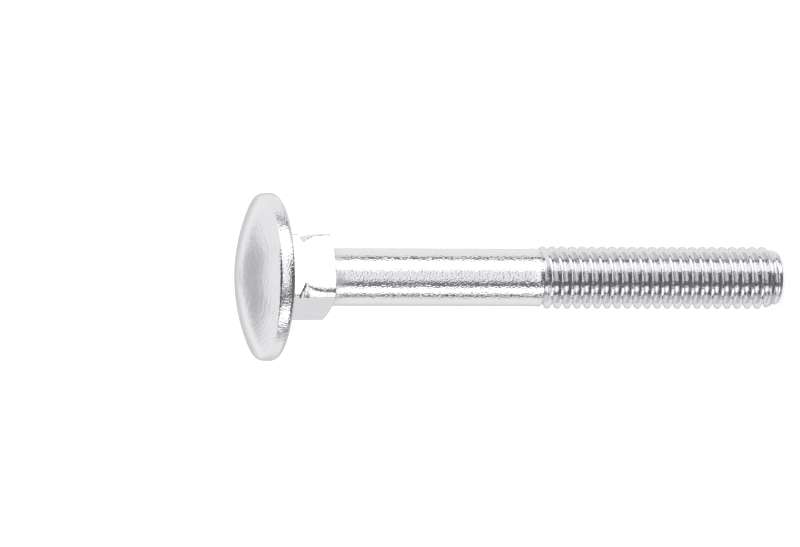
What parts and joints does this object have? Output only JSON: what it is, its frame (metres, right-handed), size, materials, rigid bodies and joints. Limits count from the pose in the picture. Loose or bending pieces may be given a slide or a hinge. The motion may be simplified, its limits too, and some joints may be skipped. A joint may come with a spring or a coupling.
{
  "type": "carriage bolt",
  "caption": "Carriage bolt with a low domed cup head, a square neck that locks in its hole, a plain shank and a rolled right-hand thread.",
  "frame": {"origin": "centre of the flat face under the head, where the bolt's axis meets the seat plane", "axes": "+Z along the bolt's axis towards the dome of the head; X and Y square to the flats of the neck"},
  "size_m": [0.0161, 0.016, 0.0535],
  "materials": {
    "zinc_plated_steel": "bright zinc plating with a fine satin grain"
  },
  "bodies": {
    "root": {"carriage_bolt": "zinc_plated_steel"}
  },
  "joints": []
}
